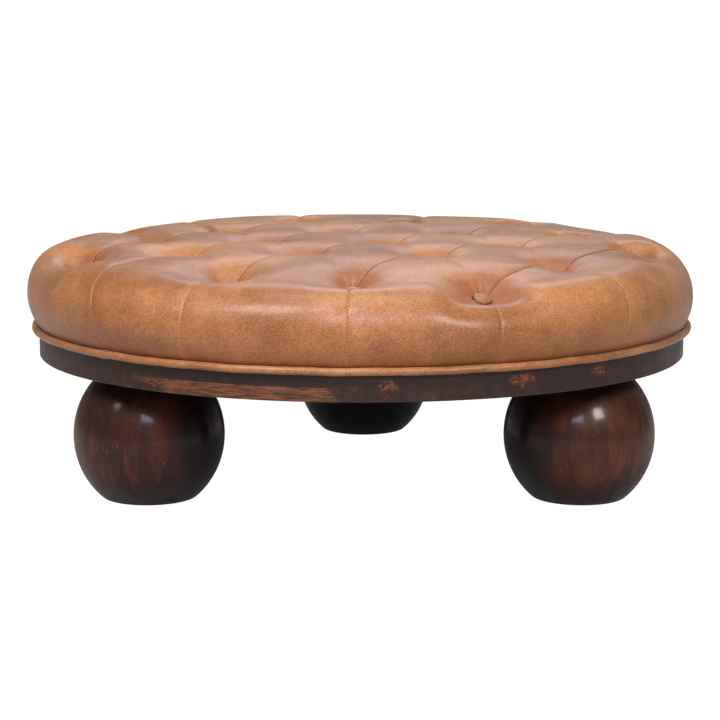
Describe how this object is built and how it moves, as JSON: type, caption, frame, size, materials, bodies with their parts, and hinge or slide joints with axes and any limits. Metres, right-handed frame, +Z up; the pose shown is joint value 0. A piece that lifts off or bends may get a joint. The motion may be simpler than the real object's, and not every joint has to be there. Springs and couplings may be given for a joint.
{
  "type": "ottoman coffee table",
  "caption": "Round low ottoman table: button-tufted leather cushion with piping, on a two-layer wooden base and three large turned ball feet.",
  "frame": {"origin": "on the floor, under the middle of the round top", "axes": "+Z up, the short way of the table; -Y is the front, between the two front feet; +X to the right seen from the front"},
  "size_m": [0.915, 0.915, 0.3298],
  "materials": {
    "cover_leather": "tan aniline hide, mottled",
    "button_leather": "tan aniline hide over a metal button",
    "piping_leather": "tan aniline hide, sewn round a cord",
    "lacquered_wood": "dark stained, gloss lacquer",
    "lower_boards": "walnut stain, satin",
    "upper_boards": "walnut stain, satin",
    "plywood": "raw birch plywood",
    "felt": "pressed wool felt",
    "foam": "open-cell foam",
    "cord": "braided cotton",
    "twine": "waxed nylon",
    "zinc_steel": "zinc plated"
  },
  "bodies": {
    "root": {"ball_foot_front_left": "lacquered_wood", "ball_foot_front_right": "lacquered_wood", "ball_foot_rear": "lacquered_wood", "button_twines": "twine", "cover_staples": "zinc_steel", "felt_pad_front_left": "felt", "felt_pad_front_right": "felt", "felt_pad_rear": "felt", "foam_core": "foam", "hanger_bolts": "zinc_steel", "leather_cover": "cover_leather", "lower_board_1": "lower_boards", "lower_board_2": "lower_boards", "lower_board_3": "lower_boards", "lower_board_4": "lower_boards", "lower_board_5": "lower_boards", "lower_board_6": "lower_boards", "lower_board_7": "lower_boards", "lower_board_8": "lower_boards", "lower_board_9": "lower_boards", "piping_cord": "cord", "piping_leather": "piping_leather", "seat_board": "plywood", "seat_screws": "zinc_steel", "tee_nuts": "zinc_steel", "tuft_buttons": "button_leather", "twine_washers": "zinc_steel", "upper_board_1": "upper_boards", "upper_board_2": "upper_boards", "upper_board_3": "upper_boards", "upper_board_4": "upper_boards", "upper_board_5": "upper_boards", "upper_board_6": "upper_boards", "upper_board_7": "upper_boards", "upper_board_8": "upper_boards", "upper_board_9": "upper_boards"}
  },
  "joints": []
}
